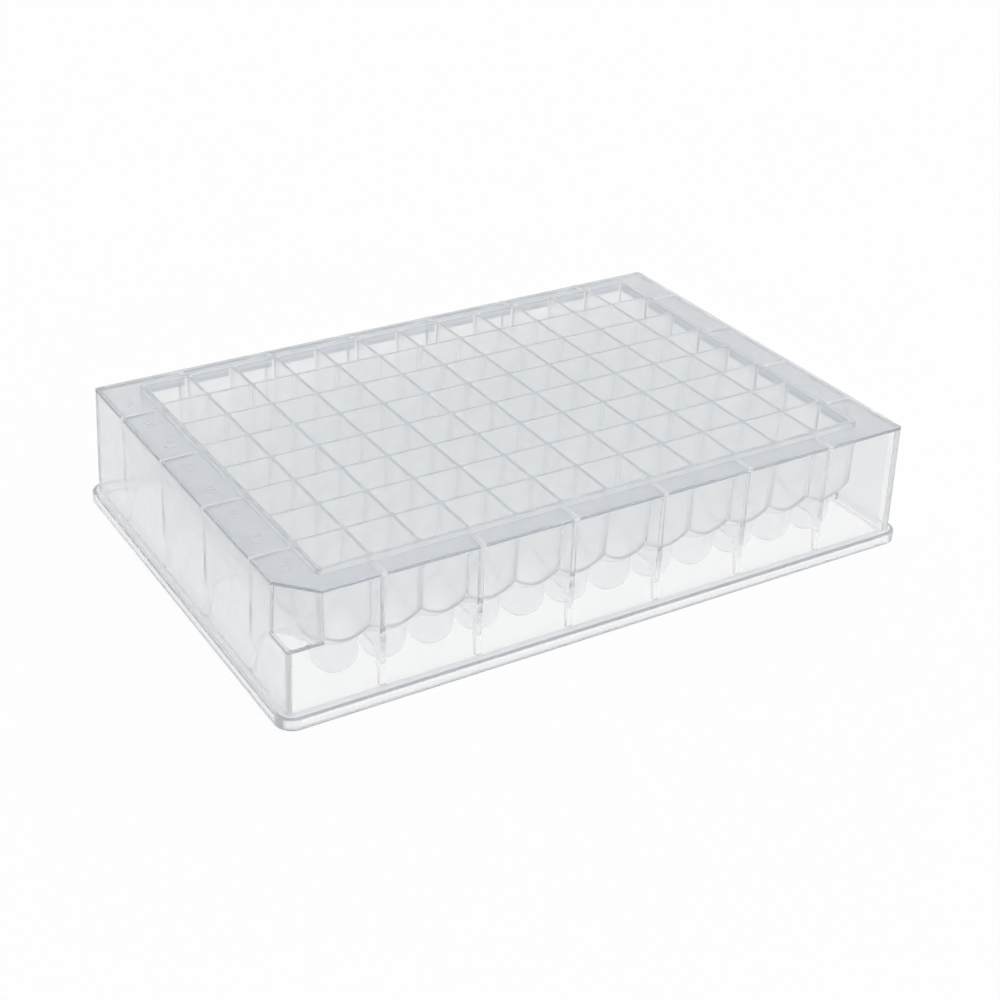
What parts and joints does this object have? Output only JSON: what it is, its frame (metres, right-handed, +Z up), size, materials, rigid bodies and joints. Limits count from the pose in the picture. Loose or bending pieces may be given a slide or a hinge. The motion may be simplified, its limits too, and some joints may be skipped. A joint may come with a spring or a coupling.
{
  "type": "well plate",
  "caption": "Rectangular laboratory plate with a grid of open square wells with rounded bottoms, inside a flanged skirt, for holding, mixing and storing liquid samples.",
  "frame": {"origin": "centre of the base's footprint, on the surface that the plate stands on", "axes": "+X along the length, from column 1 to the last column; +Y across the width, from row H to row A; +Z up, out of the wells. The cut corner is at -X, -Y"},
  "size_m": [0.1278, 0.0854, 0.0244],
  "materials": {
    "well_plate": "natural translucent polypropylene, smooth as moulded, slightly milky"
  },
  "bodies": {
    "root": {"well_plate": "well_plate"}
  },
  "joints": []
}
